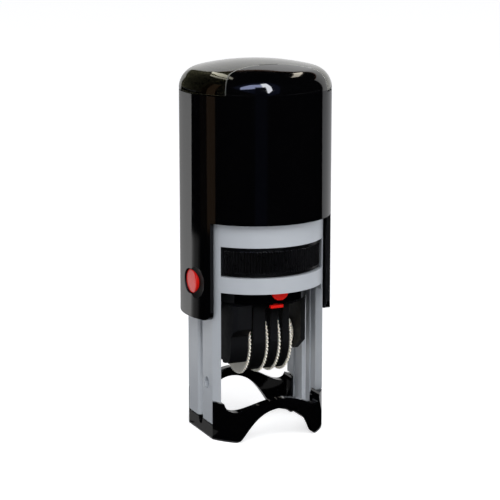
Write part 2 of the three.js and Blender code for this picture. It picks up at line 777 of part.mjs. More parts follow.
// Rubber printing face: a sheet with a raised border and two rules beside the date window
function textDie() {
  const low = holderTop + gap + backingWall + gap;
  const sheet = bar("z", dieRadius, unit(low), unit(low + dieSheet), [0, 0], wideSides);
  const border = ring(dieRadius - borderWidth, dieRadius, unit(low), unit(dieReach));
  const rules = bothSides((side) => {
    const near = side * (windowHalf + ruleWidth);
    const [from, to] = inOrder(near, near + side * ruleWidth);
    return box(-ruleHalfLength, ruleHalfLength, from, to, unit(low), unit(dieReach));
  });
  return cut(join(sheet, border, ...rules), dateWindow(low - overrun, dieReach + overrun));
}

// Outer or inner face of the wheel housing, before (-1) or behind (1) the axle: straight above it
// and round below it, down to where the housing is cut off
function housingFace(side, radius, drop, flare = 0) {
  const points = [new THREE.Vector2(side * (radius + flare), unit(housingTop))];
  if (flare > 0) {
    points.push(new THREE.Vector2(side * (radius + flare), unit(flareFoot)));
    points.push(new THREE.Vector2(side * radius, unit(flareFoot) - flare));
  }
  for (let i = 0; i <= housingSteps; i++) {
    const turn = (Math.asin(drop / radius) * i) / housingSteps;
    points.push(new THREE.Vector2(side * radius * Math.cos(turn), axleHeight - radius * Math.sin(turn)));
  }
  return points;
}

// Fingers between the wheels, hung from a deck, with a closed block round the left wheel's band
function wheelHousing() {
  const inner = toothRoot - wheelShares.wall * flangeRadius;
  const fingerDrop = dropShares.finger * inner;
  const blockDrop = dropShares.block * inner;
  const [foot, top] = [unit(housingFoot), unit(housingTop)];
  const last = wheels[wheels.length - 1].right;
  const fingers = wheels.flatMap(({ left, flange }, i) =>
    bothSides((side) => {
      const [drop, flare] = i ? [fingerDrop, 0] : [blockDrop, side < 0 ? flareReach : 0];
      const outer = housingFace(side, toothRoot, drop, flare);
      const section = new THREE.Shape([...outer, ...housingFace(side, inner, drop).reverse()]);
      return extrude(section, i ? left : -carrierHalf, flange - gap, "side");
    }),
  );
  const leftCheek = new THREE.Shape([
    ...housingFace(-1, toothRoot, blockDrop, flareReach),
    ...housingFace(1, toothRoot, blockDrop).reverse(),
  ]);
  const rightCheek = new THREE.Shape();
  rightCheek.moveTo(-cheekHalf, top);
  rightCheek.lineTo(-cheekHalf, axleHeight - cheekShoulder);
  rightCheek.lineTo(-cheekTipHalf, axleHeight - cheekTipDrop);
  rightCheek.lineTo(cheekTipHalf, axleHeight - cheekTipDrop);
  rightCheek.lineTo(cheekHalf, axleHeight - cheekShoulder);
  rightCheek.lineTo(cheekHalf, top);
  rightCheek.closePath();
  return join(
    box(-carrierHalf, last, -toothRoot, toothRoot, foot, top),
    box(last - fuse, carrierHalf, -cheekHalf, cheekHalf, foot, top),
    extrude(leftCheek, -carrierHalf, -cheekInner, "side"),
    extrude(rightCheek, cheekInner, carrierHalf, "side"),
    ...fingers,
  ).intersect(extrude(circle(hollow - gap), axleHeight - flangeRadius, top));
}

// Carrier: plate in the holder, the nose that the bands pass over and the wheel housing below
function bandCarrier() {
  const [foot, top] = [unit(housingFoot), unit(holderCeiling - gap)];
  const plate = extrude(circle(carrierRound), foot, top).intersect(
    box(-carrierHalf, carrierHalf, -carrierReach, carrierReach, foot, top),
  );
  const lean = Math.asin((hubRadii[0] + gap - noseRadius - gap) / noseReach);
  const flank = noseRadius * Math.cos(lean);
  const shoulder = unit(noseHeight + noseRadius * Math.sin(lean));
  const footHalf = flank + (shoulder - unit(noseFoot)) * Math.tan(lean);
  const nose = new THREE.Shape();
  nose.moveTo(-footHalf, unit(noseFoot));
  nose.lineTo(footHalf, unit(noseFoot));
  nose.absarc(0, unit(noseHeight), noseRadius, lean, Math.PI - lean);
  nose.closePath();
  const tie = rectangle(-flank, flank, unit(noseFoot), top);
  const wheelsRight = wheels[wheels.length - 1].right + gap;
  const shell = cut(
    join(plate, wheelHousing()),
    box(dateLeft, dateRight, -openingHalf, openingHalf, foot - overrun, top + overrun),
    box(dateLeft, wheelsRight, -openingHalf, openingHalf, foot - overrun, unit(noseFoot)),
    bar("x", axleRadius + gap, -carrierHalf - overrun, carrierHalf + overrun, [0, axleHeight]),
  );
  return join(
    shell,
    extrude(nose, bandsLeft, bandsRight, "side"),
    extrude(tie, dateLeft - fuse, dateRight + fuse, "side"),
  );
}

// Wheel: knurled finger flange on the right of its band hub
function dateWheel({ left, flange, right, hub }, isLast) {
  const teeth = [];
  for (let i = 0; i < 2 * knurlCount; i++) {
    const turn = (Math.PI * i) / knurlCount;
    const radius = flangeRadius - (i % 2 ? knurlDepth : 0);
    teeth.push(new THREE.Vector2(radius * Math.cos(turn), axleHeight + radius * Math.sin(turn)));
  }
  const parts = [
    extrude(new THREE.Shape(teeth), flange, right, "side"),
    bar("x", hub, left, flange + flangeWall / 2, [0, axleHeight], wideSides),
  ];
  if (isLast) parts.push(bar("x", spacerRadius, flange, cheekInner - gap, [0, axleHeight]));
  return cut(join(...parts), bar("x", axleRadius + gap, -axleHalf, axleHalf, [0, axleHeight]));
}

// A point on the loop round a hub and the nose: share runs once round, offset lies outward
function loopPoint(hubRadius, share, offset) {
  const [big, small] = [hubRadius + gap, noseRadius + gap];
  const lean = Math.asin((big - small) / noseReach);
  const bigTurn = Math.PI + 2 * lean;
  const smallTurn = Math.PI - 2 * lean;
  const straight = noseReach * Math.cos(lean);
  const spans = [smallTurn * small, straight, bigTurn * big, straight];
  let left = share * spans.reduce((sum, span) => sum + span, 0);
  let part = 0;
  while (left > spans[part] && part < spans.length - 1) left -= spans[part++];
  const done = left / spans[part];
  const turn = [
    lean + smallTurn * done,
    Math.PI - lean,
    Math.PI - lean + bigTurn * done,
    lean,
  ][part];
  const along = part === 1 ? done : part === 2 ? 1 : part === 3 ? 1 - done : 0;
  const radius = small + (big - small) * along + offset;
  const centre = unit(noseHeight) - noseReach * along;
  return new THREE.Vector2(radius * Math.cos(turn), centre + radius * Math.sin(turn));
}

// Band: an endless rubber strip with twelve raised character pads
function dateBand({ left, flange, hub }) {
  const steps = padCount * bandSteps;
  const outer = [];
  const inner = [];
  for (let i = 0; i < steps; i++) {
    const place = (i + 0.5) / bandSteps;
    const onPad = Math.abs(place - Math.floor(place) - 0.5) < padShare / 2;
    outer.push(loopPoint(hub, i / steps, onPad ? bandRise : bandWall));
    if (i % 2 === 0) inner.push(loopPoint(hub, i / steps, 0));
  }
  const shape = new THREE.Shape(outer);
  shape.holes.push(new THREE.Path(inner));
  return extrude(shape, left, flange - gap, "side");
}

function dateMarker() {
  const stem = [markerShift, unit(markerRise - markerStemDrop)];
  return join(
    bar("y", markerRadius, -markerSeat - markerWall, -markerSeat, [markerShift, unit(markerRise)]),
    bar("y", markerStem, -markerSeat - markerWall / 2, markerStemLength - markerSeat, stem),
  );
}

// Stem of the tab, or its hole in the holder where a margin is given
function tabStem(margin = 0) {
  const middle = (tabLeft + tabRight) / 2;
  const half = tabStemHalf + margin;
  const front = tabStemInset - holderRadius;
  const foot = unit(tabTop - tabHeight / 2);
  return box(
    middle - half,
    middle + half,
    front - margin,
    front + tabStemDepth + margin,
    foot,
    unit(tabStemTop) + margin,
  );
}

function latchTab() {
  const front = -holderRadius - tabProud;
  return join(
    box(tabLeft, tabRight, front, front + tabDepth, unit(tabTop - tabHeight), unit(tabTop)),
    tabStem(),
  );
}

// The whole stamp
const stamp = new THREE.Group();
stamp.add(
  meshOf("frame", frame(), lightGrey),
  meshOf("foot_ring", footRing(), blackGloss),
  meshOf("main_spring", mainSpring(), steel),
  meshOf("cap_shell", capShell(), blackGloss),
  meshOf("crown_cover", crownCover(), smoked),
  meshOf("index_card", indexCard(), paper),
  meshOf("pivot_pin_left", pivotPin(-1), steel),
  meshOf("pivot_pin_right", pivotPin(1), steel),
  meshOf("lock_button_left", lockButton(-1), red),
  meshOf("lock_button_right", lockButton(1), red),
  meshOf("pad_cassette", padCassette(), blackSatin),
  meshOf("ink_pad", inkPad(), felt),
  meshOf("die_holder", dieHolder(), blackGloss),
  meshOf("die_backing", dieBacking(), blackSatin),
  meshOf("text_die", textDie(), dieRubber),
  meshOf("band_carrier", bandCarrier(), blackSatin),
  meshOf("wheel_axle", bar("x", axleRadius, -axleHalf, axleHalf, [0, axleHeight]), steel),
  meshOf("date_marker", dateMarker(), red),
  meshOf("latch_tab", latchTab(), red),
);
wheels.forEach((wheel, i) => {
  stamp.add(meshOf(`date_wheel_${i + 1}`, dateWheel(wheel, i === wheels.length - 1), white));
  stamp.add(meshOf(`date_band_${i + 1}`, dateBand(wheel), rubber));
});

export default stamp;
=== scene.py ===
import bmesh
import bpy
import math
from mathutils import Matrix, Vector


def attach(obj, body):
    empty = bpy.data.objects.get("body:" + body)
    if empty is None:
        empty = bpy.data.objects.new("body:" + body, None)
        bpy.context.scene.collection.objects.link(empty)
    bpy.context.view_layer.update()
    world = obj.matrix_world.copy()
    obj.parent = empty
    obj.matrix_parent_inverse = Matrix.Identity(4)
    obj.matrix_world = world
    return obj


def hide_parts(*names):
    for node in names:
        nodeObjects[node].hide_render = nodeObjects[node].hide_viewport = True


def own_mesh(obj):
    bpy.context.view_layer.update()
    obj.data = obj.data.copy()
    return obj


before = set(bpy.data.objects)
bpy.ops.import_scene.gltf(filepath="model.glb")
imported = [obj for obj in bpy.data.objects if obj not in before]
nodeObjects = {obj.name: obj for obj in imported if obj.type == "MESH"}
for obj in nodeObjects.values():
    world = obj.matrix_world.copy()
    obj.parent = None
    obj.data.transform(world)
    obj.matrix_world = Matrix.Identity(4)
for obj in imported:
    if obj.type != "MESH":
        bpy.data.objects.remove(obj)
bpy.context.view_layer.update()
mm = 0.001  # pieces are shaped in millimetres and scaled once, at the end


def linearColour(hexText):
    parts = [int(hexText[i:i + 2], 16) / 255 for i in (1, 3, 5)]
    return tuple(p / 12.92 if p <= 0.04045 else ((p + 0.055) / 1.055) ** 2.4 for p in parts) + (1.0,)


def addNode(tree, kind, settings=None, inputs=None):
    node = tree.nodes.new(kind)
    for key, value in (settings or {}).items():
        setattr(node, key, value)
    for key, value in (inputs or {}).items():
        if isinstance(value, bpy.types.NodeSocket):
            tree.links.new(value, node.inputs[key])
        else:
            node.inputs[key].default_value = value
    return node


# Camera, fitted to the photograph
cameraFit = {"place": (-0.18417, -0.42447, 0.14173), "pitch": 77.99, "turn": -23.3,
             "lens": 142.4, "sensor": 36, "nearest": 0.01}
cameraData = bpy.data.cameras.new("camera")
cameraData.lens = cameraFit["lens"]
cameraData.sensor_width = cameraFit["sensor"]
cameraData.clip_start = cameraFit["nearest"]
camera = bpy.data.objects.new("camera", cameraData)
camera.location = cameraFit["place"]
camera.rotation_euler = (math.radians(cameraFit["pitch"]), 0, math.radians(cameraFit["turn"]))
bpy.context.scene.collection.objects.link(camera)
bpy.context.scene.camera = camera
bpy.context.scene.view_settings.view_transform = "Standard"
print("camera ready")


# Materials. How the noise of every moulded finish is drawn
noise = {"cloudDetail": 3.0, "wearDetail": 6.0, "wearRoughness": 0.65, "wearFrom": 0.35, "wearTo": 0.75,
         "grainDetail": 2.0, "grainDepth": 0.2}


def startMaterial(name):
    material = bpy.data.materials.new(name)
    material.use_nodes = True
    tree = material.node_tree
    shader = tree.nodes["Principled BSDF"]
    place = addNode(tree, "ShaderNodeTexCoord").outputs["Object"]
    return material, tree, shader, place


def mouldedPlastic(name, look):
    material, tree, shader, place = startMaterial(name)
    cloud = addNode(tree, "ShaderNodeTexNoise", {}, {
        "Vector": place, "Scale": 1 / (look["cloudMm"] * mm), "Detail": noise["cloudDetail"]})
    shade = addNode(tree, "ShaderNodeMix", {"data_type": "RGBA"}, {
        "Factor": cloud.outputs["Fac"], "A": linearColour(look["dark"]), "B": linearColour(look["light"])})
    tree.links.new(shade.outputs["Result"], shader.inputs["Base Color"])
    wear = addNode(tree, "ShaderNodeTexNoise", {}, {
        "Vector": place, "Scale": 1 / (look["wearMm"] * mm), "Detail": noise["wearDetail"],
        "Roughness": noise["wearRoughness"]})
    gloss = addNode(tree, "ShaderNodeMapRange", {}, {
        "Value": wear.outputs["Fac"], "From Min": noise["wearFrom"], "From Max": noise["wearTo"],
        "To Min": look["roughness"], "To Max": look["roughness"] + look["wear"]})
    tree.links.new(gloss.outputs["Result"], shader.inputs["Roughness"])
    grain = addNode(tree, "ShaderNodeTexNoise", {}, {
        "Vector": place, "Scale": 1 / (look["grainMm"] * mm), "Detail": noise["grainDetail"]})
    bump = addNode(tree, "ShaderNodeBump", {}, {
        "Height": grain.outputs["Fac"], "Strength": look["grain"],
        "Distance": look["grainMm"] * mm * noise["grainDepth"]})
    tree.links.new(bump.outputs["Normal"], shader.inputs["Normal"])
    shader.inputs["IOR"].default_value = look["ior"]
    return material, tree, shader


# Polished injection-moulded ABS: deep black with a mirror gloss and faint handling marks
glossBlack = {"dark": "#020203", "light": "#040405", "cloudMm": 9, "roughness": 0.045, "wear": 0.05,
              "wearMm": 2.5, "grainMm": 1.6, "grain": 0.012, "ior": 1.5}
polishedBlackAbs = mouldedPlastic("polished black ABS", glossBlack)[0]

# Spark-eroded mould finish: black with a low satin sheen
satinBlack = {"dark": "#040405", "light": "#080809", "cloudMm": 4, "roughness": 0.26, "wear": 0.14,
              "wearMm": 1.2, "grainMm": 0.12, "grain": 0.2, "ior": 1.5}
satinBlackAbs = mouldedPlastic("satin black ABS", satinBlack)[0]

# The carrier, the plate behind the die and the dish round a button: black ABS from a matt mould
mattBlack = {"dark": "#020202", "light": "#040404", "cloudMm": 4, "roughness": 0.55, "wear": 0.1,
             "wearMm": 1.2, "grainMm": 0.12, "grain": 0.1, "ior": 1.4}
mattBlackAbs = mouldedPlastic("matt black ABS", mattBlack)[0]

# Light grey ABS from a fine matt mould, a little cool
frameGrey = {"dark": "#adb2b8", "light": "#b7bcc2", "cloudMm": 14, "roughness": 0.36, "wear": 0.1,
             "wearMm": 3, "grainMm": 0.14, "grain": 0.12, "ior": 1.5}
greyAbs = mouldedPlastic("moulded light grey ABS", frameGrey)[0]

# Signal red ABS, polished
buttonRed = {"dark": "#d2140c", "light": "#e01a10", "cloudMm": 3, "roughness": 0.16, "wear": 0.08,
             "wearMm": 1.0, "grainMm": 0.4, "grain": 0.03, "ior": 1.5}
redAbs = mouldedPlastic("polished red ABS", buttonRed)[0]

# Cream acetal of the finger wheels, slightly waxy
wheelCream = {"dark": "#ddd8c9", "light": "#e9e5d9", "cloudMm": 2.5, "roughness": 0.34, "wear": 0.16,
              "wearMm": 0.8, "grainMm": 0.2, "grain": 0.08, "ior": 1.48, "subsurface": 0.12,
              "scatter": (0.0008, 0.0006, 0.0004)}
creamAcetal, tree, shader = mouldedPlastic("satin cream acetal", wheelCream)
shader.inputs["Subsurface Weight"].default_value = wheelCream["subsurface"]
shader.inputs["Subsurface Radius"].default_value = wheelCream["scatter"]

# Moulded band rubber: matt, with a dusty bloom
bandBlack = {"dark": "#0d0d0e", "light": "#171718", "cloudMm": 1.5, "roughness": 0.55, "wear": 0.25,
             "wearMm": 0.6, "grainMm": 0.18, "grain": 0.4, "ior": 1.5}
mattRubber = mouldedPlastic("moulded black rubber", bandBlack)[0]

# Laser-cut stamp rubber: brick red, sooty in its hollows
dieRed = {"dark": "#4b1d19", "light": "#6b2c26", "cloudMm": 1.1, "roughness": 0.6, "wear": 0.2,
          "wearMm": 0.5, "grainMm": 0.15, "grain": 0.5, "ior": 1.5}
stampRubber = mouldedPlastic("laser-cut stamp rubber", dieRed)[0]

# Ink-soaked felt: nearly black blue, fibrous
inkFelt = {"dark": "#0e0f22", "light": "#1b1c38", "cloudMm": 0.9, "roughness": 0.85, "wear": 0.1,
           "wearMm": 0.4, "grainMm": 0.25, "grain": 0.9, "ior": 1.4, "sheen": 0.3}
soakedFelt, tree, shader = mouldedPlastic("ink-soaked felt", inkFelt)
shader.inputs["Sheen Weight"].default_value = inkFelt["sheen"]

# Coated card, printed dark, under the cover
darkCard = {"dark": "#0c0c0d", "light": "#121211", "cloudMm": 5, "roughness": 0.5, "wear": 0.1,
            "wearMm": 1.0, "grainMm": 0.3, "grain": 0.1, "ior": 1.5}
coatedCard = mouldedPlastic("coated dark card", darkCard)[0]

# Drawn spring steel: bright, with fine drawing lines
wireSteel = {"dark": "#a9acb0", "light": "#c3c6ca", "cloudMm": 1.0, "roughness": 0.22, "wear": 0.12,
             "wearMm": 0.3, "grainMm": 0.1, "grain": 0.15, "ior": 1.5}
drawnSteel, tree, shader = mouldedPlastic("drawn spring steel", wireSteel)
shader.inputs["Metallic"].default_value = 1.0

# Clear polycarbonate, smoked olive, polished and faintly smeared by fingers
smokedClear = {"tint": "#3f3e30", "ior": 1.58, "smearMm": 3, "smearDetail": 5.0, "smearFrom": 0.4,
               "smearTo": 0.8, "clearest": 0.01, "dullest": 0.03}


def smokedCover():
    material, tree, shader, place = startMaterial("smoked clear polycarbonate")
    shader.inputs["Base Color"].default_value = linearColour(smokedClear["tint"])
    shader.inputs["Transmission Weight"].default_value = 1.0
    shader.inputs["IOR"].default_value = smokedClear["ior"]
    smear = addNode(tree, "ShaderNodeTexNoise", {}, {
        "Vector": place, "Scale": 1 / (smokedClear["smearMm"] * mm), "Detail": smokedClear["smearDetail"]})
    gloss = addNode(tree, "ShaderNodeMapRange", {}, {
        "Value": smear.outputs["Fac"], "From Min": smokedClear["smearFrom"],
        "From Max": smokedClear["smearTo"], "To Min": smokedClear["clearest"],
        "To Max": smokedClear["dullest"]})
    tree.links.new(gloss.outputs["Result"], shader.inputs["Roughness"])
    return material


smokedPolycarbonate = smokedCover()

# The cut rim and the downward faces of the cover are coloured pale grey: a painted highlight standing for
# the light the clear edge catches, so it shows as a pale line
coverRimHighlight = {"dark": "#b9bab4", "light": "#d2d3cd", "cloudMm": 2, "roughness": 0.4, "wear": 0.1,
              "wearMm": 0.8, "grainMm": 0.2, "grain": 0.1, "ior": 1.58}
rimHighlightPolycarbonate = mouldedPlastic("polycarbonate rim with painted highlight", coverRimHighlight)[0]
print("materials ready")


# Shaping tools, in millimetres and degrees
weld = {"fresh": 1e-4, "cut": 0.004, "sliver": 0.002, "node": 2e-3}  # points and slivers below this go
edgeAngles = {"sharp": 12, "round": 22, "level": 1}  # where shading breaks, edges round, faces join
overlap = 0.1  # how far shapes that join or cut run into each other
beyond = 20  # further from the axis than any surface


def arc(centre, radius, start, end, steps):
    turns = [math.radians(start + (end - start) * i / steps) for i in range(steps + 1)]
    return [(centre[0] + radius * math.cos(t), centre[1] + radius * math.sin(t)) for t in turns]


def curve(points, steps):
    a, b, c, d = [Vector(p) for p in points]
    placed = []
    for i in range(steps + 1):
        t = i / steps
        start = a * (1 - t) ** 3 + 3 * b * t * (1 - t) ** 2
        placed.append(tuple(start + 3 * c * t * t * (1 - t) + d * t ** 3))
    return placed


def bend(start, pull, end, steps):
    a, b, c = [Vector(p) for p in (start, pull, end)]
    return curve([a, a.lerp(b, 2 / 3), c.lerp(b, 2 / 3), c], steps)


def prism(outline, low, high, view="top"):
    place = {"top": lambda p: (p[0], p[1], low), "side": lambda p: (low, p[0], p[1]),
             "front": lambda p: (p[0], low, p[1])}[view]
    push = {"top": (0, 0, 1), "side": (1, 0, 0), "front": (0, 1, 0)}[view]
    bm = bmesh.new()
    face = bm.faces.new([bm.verts.new(place(p)) for p in outline])
    grown = bmesh.ops.extrude_face_region(bm, geom=[face])["geom"]
    raised = [item for item in grown if isinstance(item, bmesh.types.BMVert)]
    bmesh.ops.translate(bm, verts=raised, vec=Vector(push) * (high - low))
    bmesh.ops.remove_doubles(bm, verts=bm.verts, dist=weld["fresh"])
    bmesh.ops.recalc_face_normals(bm, faces=bm.faces)
    return bm


def square(x0, x1, y0, y1):
    return [(x0, y0), (x1, y0), (x1, y1), (x0, y1)]


def box(x0, x1, y0, y1, z0, z1):
    return prism(square(x0, x1, y0, y1), z0, z1)


def turned(profile, steps, closed=False):
    bm = bmesh.new()
    verts = [bm.verts.new((r, 0, z)) for r, z in profile]
    edges = [bm.edges.new(pair) for pair in zip(verts, verts[1:])]
    if closed:
        edges.append(bm.edges.new((verts[-1], verts[0])))
    bmesh.ops.spin(bm, geom=verts + edges, cent=(0, 0, 0), axis=(0, 0, 1), angle=2 * math.pi,
                   steps=steps, use_merge=True)
    bmesh.ops.remove_doubles(bm, verts=bm.verts, dist=weld["fresh"])
    bmesh.ops.recalc_face_normals(bm, faces=bm.faces)
    return bm


def moved(bm, matrix):
    bmesh.ops.transform(bm, matrix=matrix, verts=bm.verts)
    if matrix.determinant() < 0:
        bmesh.ops.reverse_faces(bm, faces=bm.faces)
    return bm


def asObject(bm, name="work"):
    mesh = bpy.data.meshes.new(name)
    bm.to_mesh(mesh)
    bm.free()
    item = bpy.data.objects.new(name, mesh)
    bpy.context.scene.collection.objects.link(item)
    return item


def combine(body, tools, operation="DIFFERENCE"):
    base = asObject(body)
    helpers = [asObject(tool) for tool in tools]
    for helper in helpers:
        step = base.modifiers.new("cut", "BOOLEAN")
        step.operation = operation
        step.solver = "EXACT"
        step.object = helper
    seen = base.evaluated_get(bpy.context.evaluated_depsgraph_get())
    result = bmesh.new()
    result.from_mesh(seen.to_mesh())
    for item in [base, *helpers]:
        mesh = item.data
        bpy.data.objects.remove(item)
        bpy.data.meshes.remove(mesh)
    bmesh.ops.remove_doubles(result, verts=result.verts, dist=weld["cut"])
    bmesh.ops.dissolve_degenerate(result, edges=result.edges, dist=weld["sliver"])
    return result


def makePiece(name, bm, material, body, covers=(), bevel=0.12, segments=2):
    bmesh.ops.scale(bm, vec=(mm, mm, mm), verts=bm.verts)
    for face in bm.faces:
        face.smooth = True
    piece = asObject(bm, name)
    piece.data.materials.append(material)
    piece.data.set_sharp_from_angle(angle=math.radians(edgeAngles["sharp"]))
    if bevel:
        edgeRound = piece.modifiers.new("edge round", "BEVEL")
        edgeRound.width = bevel * mm
        edgeRound.segments = segments
        edgeRound.limit_method = "ANGLE"
        edgeRound.angle_limit = math.radians(edgeAngles["round"])
        edgeRound.miter_outer = "MITER_ARC"
        edgeRound.harden_normals = True
    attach(piece, body)
    if covers:
        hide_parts(*covers)
    return piece


# Cap
cap = {"radius": 18, "wall": 1.5, "skirt": 52.6, "ledge": 82.2, "seam": 82.5, "top": 89.1, "crown": 60,
       "fillet": 5, "strapFoot": 29.3, "strapHalf": 9.3, "strapCorner": 2, "flat": 14.6, "coverWall": 1.0,
       "deckDepth": 2.1, "deckFoot": 84, "shelf": 80.2, "tongueHalf": 13.8, "tongueReach": 10.2,
       "tonguePower": 2.5, "steps": 192, "filletSteps": 14, "crownSteps": 16, "tongueSteps": 60,
       "boreWall": 0.5, "cornerSteps": 10, "edge": 0.16, "past": 1, "over": 2, "lid": 3, "cutFoot": 28}
button = {"forward": 2.5, "height": 37.9, "radius": 2.9, "flange": 3.9, "back": 15.3, "flangeWall": 0.6,
          "shoulder": 17.35, "crown": 17.6, "lean": 0.06, "nib": 0.9, "nibForward": 4.2, "nibTip": 14.6,
          "dish": 14.7, "dishDepth": 0.5, "dishTilt": 15.8, "dishReach": 5, "dishSkin": 0.03, "gap": 0.12,
          "holeFrom": 12, "domeTurn": 9, "steps": 72, "nibSteps": 32, "holeSteps": 64, "dishSteps": 96,
          "dishArcSteps": 40}
# level, outward and under tell the faces of the cover's rim from the others by their normals
cover = {"gap": 0.3, "edge": 0.1, "level": 0.1, "outward": 0.95, "under": -0.98}
crownCentre = cap["top"] - cap["crown"]
filletAt = cap["radius"] - cap["fillet"]
filletCentre = crownCentre + math.sqrt((cap["crown"] - cap["fillet"]) ** 2 - filletAt ** 2)
filletTurn = math.degrees(math.atan2(filletCentre - crownCentre, filletAt))


def crownArc(depth):
    points = arc((filletAt, filletCentre), cap["fillet"] - depth, 0, filletTurn, cap["filletSteps"])
    return points + arc((0, crownCentre), cap["crown"] - depth, filletTurn, 90, cap["crownSteps"])[1:]


def tongue(margin, side):
    points = []
    half = cap["tongueHalf"] + margin
    for i in range(cap["tongueSteps"] + 1):
        turn = math.pi * i / cap["tongueSteps"]
        power = 2 / cap["tonguePower"]
        x = half * math.copysign(abs(math.cos(turn)) ** power, math.cos(turn))
        points.append((x, (cap["tongueReach"] + margin) * math.sin(turn) ** power - cap["radius"]))
    points += [(-half, -cap["radius"] - cap["over"]), (half, -cap["radius"] - cap["over"])]
    outline = [(side * x, side * y) for x, y in points]
    return prism(outline, cap["ledge"] - cap["over"], cap["top"] + cap["lid"])


def buttonPlace(side, forward, tilt=0):
    turn = Matrix.Rotation(math.radians(tilt), 4, "Z") @ Matrix.Rotation(side * math.pi / 2, 4, "Y")
    return Matrix.Translation((0, side * forward, button["height"])) @ turn


def buttonTools(side):
    floorAt = cap["radius"] - button["dishDepth"]
    dishArc = arc((0, floorAt + button["dish"]), button["dish"], -90, 0, button["dishArcSteps"])
    dish = turned(dishArc + [(0, dishArc[-1][1])], button["dishSteps"])
    bore = button["radius"] + button["gap"]
    start = button["holeFrom"]
    hole = turned([(0, start), (bore, start), (bore, beyond), (0, beyond)], button["holeSteps"])
    return [moved(dish, buttonPlace(side, 0, button["dishTilt"])),
            moved(hole, buttonPlace(side, button["forward"]))]


def capBody():
    inner = cap["radius"] - cap["wall"]
    bore = cap["flat"] - cap["boreWall"]
    profile = [(0, cap["deckFoot"]), (cap["flat"], cap["deckFoot"]), (cap["flat"], cap["shelf"]),
               (inner, cap["shelf"]), (inner, cap["skirt"]), (bore, cap["skirt"]), (bore, cap["strapFoot"]),
               (cap["radius"], cap["strapFoot"]), *crownArc(0)]
    corner = (cap["strapCorner"] - cap["strapHalf"], cap["strapFoot"] + cap["strapCorner"])
    side = [(-beyond, cap["skirt"]), (-beyond, cap["cutFoot"]), (corner[0], cap["cutFoot"]),
            *arc(corner, cap["strapCorner"], -90, -180, cap["cornerSteps"]),
            (-cap["strapHalf"], cap["skirt"])]
    front = prism(side, -beyond, beyond, "side")
    rear = moved(prism(side, -beyond, beyond, "side"), Matrix.Scale(-1, 4, (0, 1, 0)))
    middle = box(-cap["flat"], cap["flat"], -beyond, beyond, cap["cutFoot"], cap["skirt"])
    deck = crownArc(cap["deckDepth"])
    outside, above = cap["radius"] + cap["past"], cap["top"] + cap["over"]
    over = [(outside, cap["ledge"]), (outside, above), (0, above)]
    recess = turned([*reversed(deck), (deck[0][0], cap["ledge"]), *over], cap["steps"])
    recess = combine(recess, [tongue(0, 1), tongue(0, -1)])
    return combine(turned(profile, cap["steps"]),
                   [front, rear, middle, recess, *buttonTools(1), *buttonTools(-1)])


capPiece = makePiece("cap_body", capBody(), polishedBlackAbs, "cap", ["cap_shell"],
                     bevel=cap["edge"])
capPiece.data.materials.append(mattBlackAbs)
for face in capPiece.data.polygons:
    middle = Vector(face.center) / mm
    deep = cap["radius"] - middle.xy.length > button["dishSkin"]
    beside = abs(middle.z - button["height"]) < button["dishReach"]
    face.material_index = int(deep and abs(middle.x) > cap["flat"] and beside)

outer, inner = crownArc(0), crownArc(cap["coverWall"])
coverEdge = [(outer[0][0], cap["seam"]), (inner[0][0], cap["seam"])]
coverShell = turned([*reversed(outer), *coverEdge, *inner], cap["steps"])
coverShell = combine(coverShell, [tongue(cover["gap"], 1), tongue(cover["gap"], -1)])
coverShell.normal_update()
# Cut edges and downward faces of the cover take the pale material, a painted highlight
for face in coverShell.faces:
    middle = face.calc_center_median()
    radial = Vector((face.normal.x, face.normal.y, 0)).dot(Vector((middle.x, middle.y, 0)).normalized())
    cutEdge = abs(face.normal.z) < cover["level"] and abs(radial) < cover["outward"]
    face.material_index = int(cutEdge or face.normal.z < cover["under"])
coverPiece = makePiece("cover_shell", coverShell, smokedPolycarbonate, "cover",
                       ["crown_cover"], bevel=cover["edge"])
coverPiece.data.materials.append(rimHighlightPolycarbonate)
print("cap ready")


# Lock buttons
def lockButton(side):
    flangeEnd = button["back"] + button["flangeWall"]
    dome = []
    for angle in range(0, 91, button["domeTurn"]):
        rise = (button["crown"] - button["shoulder"]) * math.sin(math.radians(angle))
        dome.append((button["radius"] * math.cos(math.radians(angle)), button["shoulder"] + rise))
    profile = [(0, button["back"]), (button["flange"], button["back"]), (button["flange"], flangeEnd),
               (button["radius"], flangeEnd), *dome]
    root = flangeEnd - overlap
    tip = button["nibTip"]
    nib = turned([(0, tip), (button["nib"], tip), (button["nib"], root), (0, root)], button["nibSteps"])
    knob = moved(turned(profile, button["steps"]), buttonPlace(side, button["forward"]))
    for vert in knob.verts:
        if abs(vert.co.x) > flangeEnd + overlap:  # the crown follows the strap's curve
            vert.co.x += side * button["lean"] * (button["forward"] - side * vert.co.y)
    return combine(knob, [moved(nib, buttonPlace(side, button["nibForward"]))], "UNION")


for word, side in (("left", -1), ("right", 1)):
    makePiece(f"button_{word}", lockButton(side), redAbs, f"lock_{word}",
              [f"lock_button_{word}"])
print("lock buttons ready")


# Frame
body = {"radius": 16.2, "flat": 14.3, "wall": 1.5, "tunnel": 12.95, "foot": 3.7, "top": 55.2,
        "ringFoot": 36.08, "windowFoot": 39.85, "windowTop": 47.05, "deckTop": 48.55, "slot": 1.1,
        "slotTop": 33.2, "chamfer": 0.5, "web": 0.36, "webReach": 6.1, "guide": 3.2, "seat": 7.31,
        "shoulder": 9.5, "pocket": 1.4, "pocketDepth": 0.9, "travel": 24.7, "facet": 6.4, "facetEnd": 14.05,
        "facetFar": 8.3, "ledge": 0.65, "ledgeHeight": 0.95, "ledgeReach": 6.95, "lip": 1.2, "lipHalf": 5,
        "post": 4.84, "postTop": 51.55, "collar": 8.3, "collarTop": 50.05, "collarWall": 1, "sunk": 0.5,
        "root": 0.4, "edge": 0.2, "past": 1, "lid": 2, "pocketCut": 4, "tall": 60, "steps": 72,
        "slotSteps": 16, "pocketSteps": 40, "lipSteps": 144}


